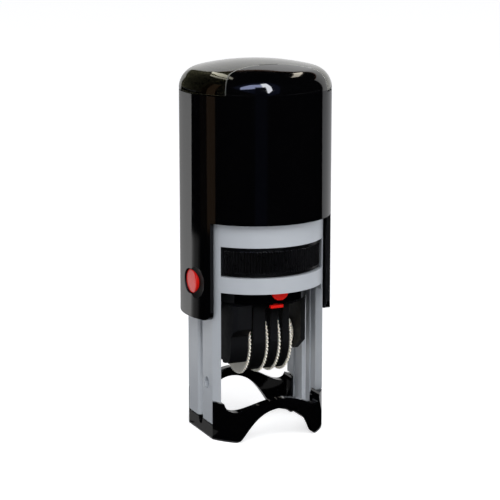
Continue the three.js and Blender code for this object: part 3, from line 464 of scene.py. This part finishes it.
def flatSided(radius, flat, steps=body["steps"]):
    corner = math.degrees(math.acos(flat / radius))
    far = arc((0, 0), radius, corner, 180 - corner, steps)
    return far + [(-x, -y) for x, y in far]


def ordered(side, a, b):
    return sorted((side * a, side * b))


def frameBody():
    bore = body["radius"] - body["wall"]
    tools = [prism(flatSided(bore, body["tunnel"]), body["deckTop"], body["top"] + body["lid"]),
             prism(flatSided(bore, body["tunnel"]), body["ringFoot"] - body["past"], body["windowTop"]),
             box(-body["tunnel"], body["tunnel"], -beyond, beyond, 0, body["ringFoot"]),
             box(-body["tunnel"], body["tunnel"], -beyond, 0, body["windowFoot"], body["windowTop"])]
    for side in (-1, 1):
        low, high = ordered(side, body["tunnel"] - body["past"], body["flat"] + body["past"])
        slotEnd = arc((0, body["slotTop"] - body["slot"]), body["slot"], 0, 180, body["slotSteps"])
        tools.append(prism([(-body["slot"], 0), (body["slot"], 0), *slotEnd], low, high, "side"))
        lip, edge = body["chamfer"], body["flat"]
        wedge = [(edge - lip, -body["slot"]), (edge + lip, -body["slot"] - 2 * lip),
                 (edge + lip, body["slot"] + 2 * lip), (edge - lip, body["slot"])]
        lead = prism(wedge, 0, body["slotTop"] - body["slot"])
        tools.append(moved(lead, Matrix.Scale(side, 4, (1, 0, 0))))
        low, high = ordered(side, body["tunnel"] - body["past"], body["tunnel"] + body["web"])
        for end in (-1, 1):
            near, far = ordered(end, body["guide"], body["webReach"])
            tools.append(box(low, high, near, far, 0, body["ringFoot"] - body["wall"]))
        near, far = ordered(side, body["seat"], beyond)
        tools.append(box(-beyond, beyond, near, far, 0, body["shoulder"]))
        inside = body["tunnel"] - overlap
        corner = prism([(inside, body["facet"]), (body["facetEnd"], body["facetFar"]),
                        (inside, body["radius"])], 0, body["ringFoot"] - body["wall"])
        tools.append(moved(corner, Matrix.Diagonal((side, -side, 1, 1))))
        for drop in (0, body["travel"]):
            deep = -body["pocketCut"]
            hole = turned([(0, deep), (body["pocket"], deep), (body["pocket"], 0), (0, 0)],
                          body["pocketSteps"])
            place = Matrix.Translation((side * (body["flat"] - body["pocketDepth"]),
                                        side * button["nibForward"], button["height"] - drop))
            tools.append(moved(hole, place @ Matrix.Rotation(-side * math.pi / 2, 4, "Y")))
    shell = combine(prism(flatSided(body["radius"], body["flat"]), body["foot"], body["top"]), tools)
    sunk = body["deckTop"] - body["sunk"]
    post = turned([(0, sunk), (body["post"], sunk), (body["post"], body["postTop"]), (0, body["postTop"])],
                  body["steps"])
    collar = turned(square(body["collar"] - body["collarWall"], body["collar"], sunk, body["collarTop"]),
                    body["steps"], closed=True)
    ledgeFoot, reach = body["windowFoot"] - body["ledgeHeight"], body["ledgeReach"]
    rearLip = turned(square(bore - body["lip"], bore + body["root"], ledgeFoot, body["windowFoot"]),
                     body["lipSteps"], closed=True)
    kept = box(-body["lipHalf"], body["lipHalf"], 0, beyond, 0, body["tall"])
    ribs = [combine(rearLip, [kept], "INTERSECT")]
    for side in (-1, 1):
        low, high = ordered(side, body["tunnel"] - body["ledge"], body["tunnel"] + body["root"])
        ribs.append(box(low, high, -reach, reach, ledgeFoot, body["windowFoot"]))
    return combine(shell, [post, collar, *ribs], "UNION")


makePiece("frame_body", frameBody(), greyAbs, "frame", ["frame"], bevel=body["edge"])
print("frame ready")

# Foot ring
foot = {"side": 3.4, "shoulder": 9.2, "shoulderAt": 12.4, "wall": 1.8, "top": 10.8, "under": 8.5,
        "half": 9.5, "dip": 7.4, "dipAt": 10.7, "corner": 1.1, "notch": 1.9, "inset": 7.61, "ear": 0.7,
        "earInset": 2, "gap": 0.3, "lowShare": 0.74, "highShare": 0.54, "riseShare": 0.52,
        "crestLow": 0.8, "crestHigh": 0.46, "edge": 0.28, "edgeSteps": 3, "earDeep": 0.9, "notchTop": 6,
        "past": 1, "heelSteps": 8, "archSteps": 24, "hornSteps": 10, "notchSteps": 12}


def footOutline():
    half, corner, under, dipAt = foot["half"], foot["corner"], foot["under"], foot["dipAt"]
    toe = (half - corner / 2, corner)
    heelBend = bend((half + corner, 0), (half, 0), toe, foot["heelSteps"])
    arch = curve([toe, (half * foot["lowShare"], under * foot["riseShare"]),
                  (half * foot["highShare"], under), (0, under)], foot["archSteps"])
    crest = curve([(0, foot["top"]), (dipAt * foot["crestHigh"], foot["top"]),
                   (dipAt * foot["crestLow"], foot["dip"]), (dipAt, foot["dip"])], foot["archSteps"])
    shoulder = (foot["shoulderAt"], foot["shoulder"])
    horn = bend((dipAt, foot["dip"]), (foot["shoulderAt"] - corner / 4, foot["dip"]), shoulder,
                foot["hornSteps"])
    right = [*reversed(arch), *reversed(heelBend[:-1]), (beyond, 0), (beyond, foot["shoulder"]),
             *reversed(horn), *reversed(crest[:-1])]
    return right + [(-x, z) for x, z in reversed(right[1:-1])]


def footBody():
    past = foot["past"]
    high = foot["top"] + past
    notchEnd = arc((0, foot["notch"] + body["slot"]), body["slot"], 180, 360, foot["notchSteps"])
    notch = [*notchEnd, (body["slot"], foot["notchTop"]), (-body["slot"], foot["notchTop"])]
    tools = [prism(flatSided(body["radius"] - foot["wall"], body["tunnel"]), -past, high + past),
             box(-beyond, beyond, -foot["inset"], foot["inset"], foot["side"], high + past),
             prism(notch, -beyond, beyond, "side")]
    outside = body["tunnel"] - foot["gap"]
    inside, deep = outside - foot["ear"], foot["inset"] + foot["earDeep"]
    earPlan = [(inside, foot["inset"] - foot["earInset"]), (outside, foot["inset"] - foot["earInset"]),
               (outside, foot["inset"]), (outside + foot["ear"], foot["inset"]),
               (outside + foot["ear"], deep), (inside, deep)]
    ears = []
    for side in (-1, 1):
        for end in (-1, 1):
            ear = prism(earPlan, 0, foot["shoulder"])
            ears.append(moved(ear, Matrix.Diagonal((side, end, 1, 1))))
    ring = combine(combine(prism(flatSided(body["radius"], body["flat"]), 0, high), tools), ears, "UNION")
    return combine(ring, [prism(footOutline(), -beyond, beyond, "front")], "INTERSECT")


makePiece("foot_body", footBody(), polishedBlackAbs, "frame", ["foot_ring"],
          bevel=foot["edge"], segments=foot["edgeSteps"])
print("foot ring ready")

# Ink pad cassette
tray = {"half": 12.65, "foot": 40.15, "top": 46.75, "front": 15.5, "rear": 14.4, "lip": 0.75, "span": 102,
        "ribs": 40, "rib": 0.3, "pad": 11.8, "padWall": 3.6, "gap": 0.3, "gripRoot": 0.8, "edge": 0.22,
        "past": 1, "padRise": 0.1, "padCorner": 0.5, "padSteps": 5, "frontSteps": 72, "rearSteps": 48,
        "ribSteps": 6, "gripSteps": 24, "steps": 96}


def cassette():
    frontTurn = math.degrees(math.acos(tray["half"] / tray["front"]))
    rearTurn = math.degrees(math.acos(tray["half"] / tray["rear"]))
    plan = arc((0, 0), tray["front"], 180 + frontTurn, 360 - frontTurn, tray["frontSteps"])
    plan += arc((0, 0), tray["rear"], rearTurn, 180 - rearTurn, tray["rearSteps"])
    grip = []
    count = tray["ribs"] * tray["ribSteps"]
    for i in range(count + 1):
        turn = math.radians(-90 + tray["span"] * (i / count - 0.5))
        rise = tray["rib"] * (0.5 - 0.5 * math.cos(2 * math.pi * i / tray["ribSteps"]))
        grip.append(((tray["front"] + rise) * math.cos(turn), (tray["front"] + rise) * math.sin(turn)))
    grip += arc((0, 0), tray["front"] - tray["gripRoot"], -90 + tray["span"] / 2, -90 - tray["span"] / 2,
                tray["gripSteps"])
    ribs = combine(prism(grip, tray["foot"] + tray["lip"], tray["top"] - tray["lip"]),
                   [box(-tray["half"], tray["half"], -beyond, 0, tray["foot"], tray["top"])], "INTERSECT")
    bore, wellTop = tray["pad"] + tray["gap"], tray["foot"] + tray["padWall"] + tray["gap"]
    below = tray["foot"] - tray["past"]
    well = turned([(0, below), (bore, below), (bore, wellTop), (0, wellTop)], tray["steps"])
    shell = combine(prism(plan, tray["foot"], tray["top"]), [ribs], "UNION")
    return combine(shell, [well])


makePiece("cassette_body", cassette(), satinBlackAbs, "pad_tray", ["pad_cassette"],
          bevel=tray["edge"])

padFoot, padTop = tray["foot"] + tray["padRise"], tray["foot"] + tray["padWall"]
padCentre = (tray["pad"] - tray["padCorner"], padFoot + tray["padCorner"])
padRound = arc(padCentre, tray["padCorner"], -90, 0, tray["padSteps"])
feltPad = turned([(0, padFoot), *padRound, (tray["pad"], padTop), (0, padTop)], tray["steps"])
makePiece("felt_pad", feltPad, soakedFelt, "pad_tray", ["ink_pad"], bevel=0)
print("cassette ready")

# Date wheels and bands
unit = {"pivot": 31.8, "axle": 22.7, "axleRadius": 1.0, "nose": 3.2, "noseRadius": 2.0,
        "flanges": [-4.92, -0.46, 2.71, 5.66], "wall": 0.7, "rim": 0.4, "rimShift": -0.22, "radius": 9.2,
        "teeth": 58, "tooth": 0.5, "hubs": [4.4, 5.5, 5.5, 5.5], "housingFoot": 18.1, "housingEnd": -5.25,
        "left": -8.5, "cheek": 8.8, "spacer": 3.5, "gap": 0.3, "band": 1.0, "wheelEdge": 0.1,
        "bandEdge": 0.12, "rise": 0.6, "pads": 12, "padSteps": 16, "padShare": 0.37, "toothSteps": 6,
        "through": 12, "steps": 72}


def bandLeft(k):
    return unit["left"] if k == 0 else unit["flanges"][k - 1] + unit["wall"] / 2 + unit["gap"]


def dateWheel(k):
    middle = unit["flanges"][k] + unit["rimShift"]
    low, high = middle - unit["rim"] / 2, middle + unit["rim"] / 2
    rim = []
    count = unit["teeth"] * unit["toothSteps"]
    for i in range(count):
        turn = 2 * math.pi * i / count
        wave = 0.5 - 0.5 * math.cos(2 * math.pi * i / unit["toothSteps"])
        radius = unit["radius"] - unit["tooth"] * wave
        rim.append((radius * math.cos(turn), unit["axle"] + radius * math.sin(turn)))
    across = Matrix.Translation((0, 0, unit["axle"])) @ Matrix.Rotation(math.pi / 2, 4, "Y")

    def drum(radius, start, end):
        return moved(turned([(0, start), (radius, start), (radius, end), (0, end)], unit["steps"]), across)

    joined = [drum(unit["hubs"][k], bandLeft(k), middle)]
    if k == 3:
        joined.append(drum(unit["spacer"], low, unit["cheek"] - unit["gap"]))
    wheel = combine(prism(rim, low, high, "side"), joined, "UNION")
    return combine(wheel, [drum(unit["axleRadius"] + unit["gap"], -unit["through"], unit["through"])])


def loopPoint(hub, share, offset):
    big, small = hub + unit["gap"], unit["noseRadius"] + unit["gap"]
    reach = unit["pivot"] - unit["axle"] + unit["nose"]
    lean = math.asin((big - small) / reach)
    straight = reach * math.cos(lean)
    spans = [(math.pi - 2 * lean) * small, straight, (math.pi + 2 * lean) * big, straight]
    left, part = share * sum(spans), 0
    while part < 3 and left > spans[part]:
        left -= spans[part]
        part += 1
    done = left / spans[part]
    turn = [lean + (math.pi - 2 * lean) * done, math.pi - lean,
            math.pi - lean + (math.pi + 2 * lean) * done, lean][part]
    along = [0, done, 1, 1 - done][part]
    radius = small + (big - small) * along + offset
    centre = unit["pivot"] + unit["nose"] - reach * along
    return radius * math.cos(turn), centre + radius * math.sin(turn)


def dateBand(k):
    left, right = bandLeft(k), unit["flanges"][k] - unit["wall"] / 2 - unit["gap"]
    steps = unit["pads"] * unit["padSteps"]
    bm = bmesh.new()
    loops = []
    for outside in (True, False):
        verts = []
        for i in range(steps):
            share = (i + 0.5) / unit["padSteps"] % 1
            onPad = abs(share - 0.5) < unit["padShare"]
            lift = unit["band"] + (unit["rise"] if onPad else 0) if outside else 0
            y, z = loopPoint(unit["hubs"][k], i / steps, lift)
            verts.append(bm.verts.new((left, y, z)))
        loops += [bm.edges.new((verts[i - 1], verts[i])) for i in range(steps)]
    faces = bmesh.ops.bridge_loops(bm, edges=loops)["faces"]
    grown = bmesh.ops.extrude_face_region(bm, geom=faces)["geom"]
    across = [item for item in grown if isinstance(item, bmesh.types.BMVert)]
    bmesh.ops.translate(bm, verts=across, vec=(right - left, 0, 0))
    bmesh.ops.recalc_face_normals(bm, faces=bm.faces)
    return bm


for k in range(4):
    makePiece(f"wheel_{k + 1}_body", dateWheel(k), creamAcetal, f"wheel_{k + 1}",
              [f"date_wheel_{k + 1}"], bevel=unit["wheelEdge"])
    makePiece(f"band_{k + 1}_body", dateBand(k), mattRubber, "print_unit",
              [f"date_band_{k + 1}"], bevel=unit["bandEdge"])
print("date wheels and bands ready")

# Main spring
spring = {"mean": 6.05, "wire": 0.9, "low": 49.3, "high": 83.25, "turns": 8, "steps": 32,
          "foot": 0.04885, "travel": 0.0247, "wireSteps": 12}


def springCoil():
    bm = bmesh.new()
    ring = bmesh.ops.create_circle(bm, segments=spring["wireSteps"], radius=spring["wire"] / 2)["verts"]
    bmesh.ops.rotate(bm, verts=ring, matrix=Matrix.Rotation(math.pi / 2, 3, "X"), cent=(0, 0, 0))
    bmesh.ops.translate(bm, verts=ring, vec=(spring["mean"], 0, spring["low"]))
    count = spring["turns"] * spring["steps"]
    climb = (spring["high"] - spring["low"]) / count
    bmesh.ops.spin(bm, geom=bm.verts[:] + bm.edges[:], cent=(0, 0, 0), axis=(0, 0, 1), dvec=(0, 0, climb),
                   angle=2 * math.pi * spring["turns"], steps=count)
    bmesh.ops.remove_doubles(bm, verts=bm.verts, dist=weld["fresh"])
    ends = [edge for edge in bm.edges if edge.is_boundary]
    bmesh.ops.holes_fill(bm, edges=ends, sides=0)
    bmesh.ops.recalc_face_normals(bm, faces=bm.faces)
    return bm


coil = makePiece("spring_coil", springCoil(), drawnSteel, "frame", ["main_spring"], bevel=0)
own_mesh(coil)
print("spring ready")


# Smaller pieces: the node's own shape with its edges rounded
def nodeShape(node):
    bm = bmesh.new()
    bm.from_mesh(nodeObjects[node].data)
    bmesh.ops.scale(bm, vec=(1 / mm, 1 / mm, 1 / mm), verts=bm.verts)
    bmesh.ops.remove_doubles(bm, verts=bm.verts, dist=weld["node"])
    level = math.radians(edgeAngles["level"])
    bmesh.ops.dissolve_limit(bm, angle_limit=level, verts=bm.verts, edges=bm.edges)
    return bm


def dressed(node, name, material, bodyName, bevel):
    return makePiece(name, nodeShape(node), material, bodyName, [node], bevel)


def carrierBody():
    below = box(-beyond, unit["housingEnd"], -beyond, beyond, 0, unit["housingFoot"])
    return combine(nodeShape("band_carrier"), [below])


dressed("die_holder", "holder_body", polishedBlackAbs, "print_unit", bevel=0.16)
dressed("die_backing", "backing_plate", mattBlackAbs, "print_unit", bevel=0.08)
dressed("text_die", "die_face", stampRubber, "print_unit", bevel=0.06)
makePiece("carrier_body", carrierBody(), mattBlackAbs, "print_unit", ["band_carrier"])
dressed("wheel_axle", "axle_pin", drawnSteel, "print_unit", bevel=0.12)
dressed("date_marker", "marker_plug", redAbs, "print_unit", bevel=0.14)
dressed("latch_tab", "tab_body", redAbs, "print_unit", bevel=0.12)
dressed("pivot_pin_left", "pin_left", drawnSteel, "cap", bevel=0.1)
dressed("pivot_pin_right", "pin_right", drawnSteel, "cap", bevel=0.1)
nodeObjects["index_card"].data.materials.clear()
nodeObjects["index_card"].data.materials.append(coatedCard)
print("small pieces ready")

# Stage: a pale floor and what the gloss black shows of a dark room with a white wall behind. A row of
# the wall holds where it starts and ends, its foot, top, colour and strength. A row of the floor, seen
# only in reflections, holds where it starts and ends, its near and far edge and its strength
stage = {"wallRadius": 0.9, "floor": 3.0, "near": 0.001, "underArch": 0.0165, "heelFar": 0.022,
         "footFar": 0.06, "strapFar": 0.25, "capFar": 0.65, "far": 2.6, "lift": 0.0004, "nearGlow": 0.22,
         "centre": (0, 0, 0.085), "lampReach": 0.8, "haloReach": 1.3, "doorFoot": 0.001, "doorTop": 0.3,
         "lampAim": (0, 0, 0.045), "steps": 24}
paper = {"colour": "#f4f5f6", "roughness": 0.9, "glow": 0.6}
room = {"ambient": (0.40, 0.40, 0.41, 1), "dark": (0.003, 0.003, 0.003, 1), "white": (1, 1, 1, 1)}
wallRows = [(97, 170, 0, 0.6, "#ffffff", 0.85), (170, 188, 0, 0.3, "#ffffff", 0.6),
            (97, 170, 0.6, 0.63, "#8a5a36", 0.5)]
wallGlow = {"from": 176, "to": 226, "low": 0.33, "high": 1.48, "rows": 20}
fadeSteps = {"from": 226, "turn": 2,
             "strengths": [1.2, 0.8, 0.52, 0.4, 0.32, 0.26, 0.24, 0.22, 0.18, 0.1, 0.04]}
fadeEnd = fadeSteps["from"] + fadeSteps["turn"] * len(fadeSteps["strengths"])
floorRows = [(fadeEnd, 295, stage["heelFar"], stage["far"], 0.0),
             (295, 456, stage["near"], stage["far"], 0.0),
             (wallGlow["to"], fadeEnd, stage["strapFar"], stage["far"], 0.0),
             (188, wallGlow["to"], stage["capFar"], stage["far"], 0.0),
             (97, 250, stage["near"], stage["underArch"], 0.0),
             (188, fadeEnd, stage["underArch"], stage["footFar"], stage["nearGlow"]),
             (fadeEnd, 295, stage["near"], stage["heelFar"], stage["nearGlow"])]
for i in range(wallGlow["rows"]):
    turn = (wallGlow["to"] - wallGlow["from"]) / wallGlow["rows"]
    rise = (wallGlow["high"] / wallGlow["low"]) ** ((i + 0.5) / wallGlow["rows"])
    floorRows.append((wallGlow["from"] + i * turn, wallGlow["from"] + (i + 1) * turn, stage["footFar"],
                      stage["capFar"], wallGlow["low"] * rise))
for i, strength in enumerate(fadeSteps["strengths"]):
    at = fadeSteps["from"] + i * fadeSteps["turn"]
    floorRows.append((at, at + fadeSteps["turn"], stage["footFar"], stage["strapFar"], strength))
lampRows = {
    "window_left": ("#c9d4ff", 8.0, [(-49, 38), (-33, 53), (-13, 56), (-11, 39), (-31, 31), (-47, 27)]),
    "window_right": ("#f4f7ff", 17.0, [(-12, 59), (2, 60), (4, 43), (3, 22), (-4, 8), (-11, 29)]),
    "skylight": ("#fff6e4", 4.5, [(141, 40), (141, 33), (108, 51), (99, 59)]),
    "strip_a": ("#fffbe8", 3.2, [(167, 30), (172, 44), (-143, 71), (-113, 70), (-158, 58), (176, 39)]),
    "strip_b": ("#fffbe8", 2.5, [(-173, 45), (-152, 59), (-127, 67), (-114, 64), (-145, 56), (-163, 48)]),
    "window_halo": ("#8ea0e0", 0.22,
                    [(-62, 34), (-38, 62), (8, 68), (20, 40), (12, 5), (-8, -4), (-40, 18)])}
doorRows = [("#5f4c3c", 0.2, -112, -99, 0.26), ("#77604a", 1.1, -99, -84, 0.26),
            ("#9fb4ff", 0.04, -24, -6, 0.26)]


def glow(name, colour, strength):
    material = bpy.data.materials.new(name)
    material.use_nodes = True
    tree = material.node_tree
    tree.nodes.clear()
    light = addNode(tree, "ShaderNodeEmission", {}, {"Color": linearColour(colour), "Strength": strength})
    addNode(tree, "ShaderNodeOutputMaterial", {}, {"Surface": light.outputs["Emission"]})
    return material


def reflectedOnly(item, material):
    item.data.materials.append(material)
    for ray in ("camera", "diffuse", "shadow", "volume_scatter"):
        setattr(item, "visible_" + ray, False)


def heading(azimuth):
    return Vector((math.sin(math.radians(azimuth)), -math.cos(math.radians(azimuth)), 0))


def swept(name, low, high, azimuthFrom, azimuthTo, material):
    bm = bmesh.new()
    verts = [bm.verts.new(heading(azimuthFrom) * radius + Vector((0, 0, z))) for radius, z in (low, high)]
    edge = bm.edges.new(verts)
    bmesh.ops.spin(bm, geom=verts + [edge], cent=(0, 0, 0), axis=(0, 0, 1),
                   angle=math.radians(azimuthTo - azimuthFrom), steps=stage["steps"])
    reflectedOnly(asObject(bm, name), material)


for i, (start, end, foot, top, colour, strength) in enumerate(wallRows):
    radius = stage["wallRadius"]
    swept(f"wall_{i}", (radius, foot), (radius, top), start, end, glow(f"wall light {i}", colour, strength))
for i, (start, end, near, far, strength) in enumerate(floorRows):
    low, high = (near, stage["lift"]), (far, stage["lift"])
    swept(f"floor_row_{i}", low, high, start, end, glow(f"floor light {i}", "#ffffff", strength))
for i, (colour, strength, start, end, radius) in enumerate(doorRows):
    low, high = (radius, stage["doorFoot"]), (radius, stage["doorTop"])
    swept(f"door_{i}", low, high, start, end, glow(f"door light {i}", colour, strength))
for name, (colour, strength, corners) in lampRows.items():
    reach = stage["haloReach" if name == "window_halo" else "lampReach"]
    bm = bmesh.new()
    verts = []
    for azimuth, elevation in corners:
        tilt = math.radians(elevation)
        away = heading(azimuth) * math.cos(tilt) + Vector((0, 0, math.sin(tilt)))
        verts.append(bm.verts.new(Vector(stage["centre"]) + away * reach))
    bm.faces.new(verts)
    reflectedOnly(asObject(bm, name), glow(name + " light", colour, strength))

floorMesh = bmesh.new()
bmesh.ops.create_grid(floorMesh, x_segments=1, y_segments=1, size=stage["floor"])
floor = asObject(floorMesh, "floor")
floorMaterial = bpy.data.materials.new("pale matt paper")
floorMaterial.use_nodes = True
tree = floorMaterial.node_tree
shader = tree.nodes["Principled BSDF"]
shader.inputs["Base Color"].default_value = linearColour(paper["colour"])
shader.inputs["Roughness"].default_value = paper["roughness"]
shader.inputs["Specular IOR Level"].default_value = 0.0
shader.inputs["Emission Color"].default_value = room["white"]
seen = addNode(tree, "ShaderNodeLightPath").outputs["Is Camera Ray"]
lift = addNode(tree, "ShaderNodeMath", {"operation": "MULTIPLY"}, {0: seen, 1: paper["glow"]})
tree.links.new(lift.outputs["Value"], shader.inputs["Emission Strength"])
floor.data.materials.append(floorMaterial)

world = bpy.data.worlds.new("studio")
bpy.context.scene.world = world
world.use_nodes = True
tree = world.node_tree
paths = addNode(tree, "ShaderNodeLightPath")
background = tree.nodes["Background"]
shown = addNode(tree, "ShaderNodeMath", {"operation": "MAXIMUM"}, {
    0: paths.outputs["Is Camera Ray"], 1: paths.outputs["Is Transmission Ray"]})
ambient = addNode(tree, "ShaderNodeMix", {"data_type": "RGBA"}, {
    "Factor": paths.outputs["Is Glossy Ray"], "A": room["ambient"], "B": room["dark"]})
sky = addNode(tree, "ShaderNodeMix", {"data_type": "RGBA"}, {
    "Factor": shown.outputs["Value"], "A": ambient.outputs["Result"], "B": room["white"]})
tree.links.new(sky.outputs["Result"], background.inputs["Color"])

lamps = {"key": (-25, 40, 0.75, 0.4, 2.5), "fill": (40, 20, 0.9, 0.5, 2.3)}
for name, (azimuth, elevation, distance, size, power) in lamps.items():
    lampData = bpy.data.lights.new(name, "AREA")
    lampData.size = size
    lampData.energy = power
    lamp = bpy.data.objects.new(name, lampData)
    tilt = math.radians(elevation)
    away = heading(azimuth) * math.cos(tilt) + Vector((0, 0, math.sin(tilt)))
    lamp.location = Vector(stage["lampAim"]) + away * distance
    lamp.rotation_euler = away.to_track_quat("Z", "Y").to_euler()
    lamp.visible_glossy = False
    bpy.context.scene.collection.objects.link(lamp)
print("stage ready")
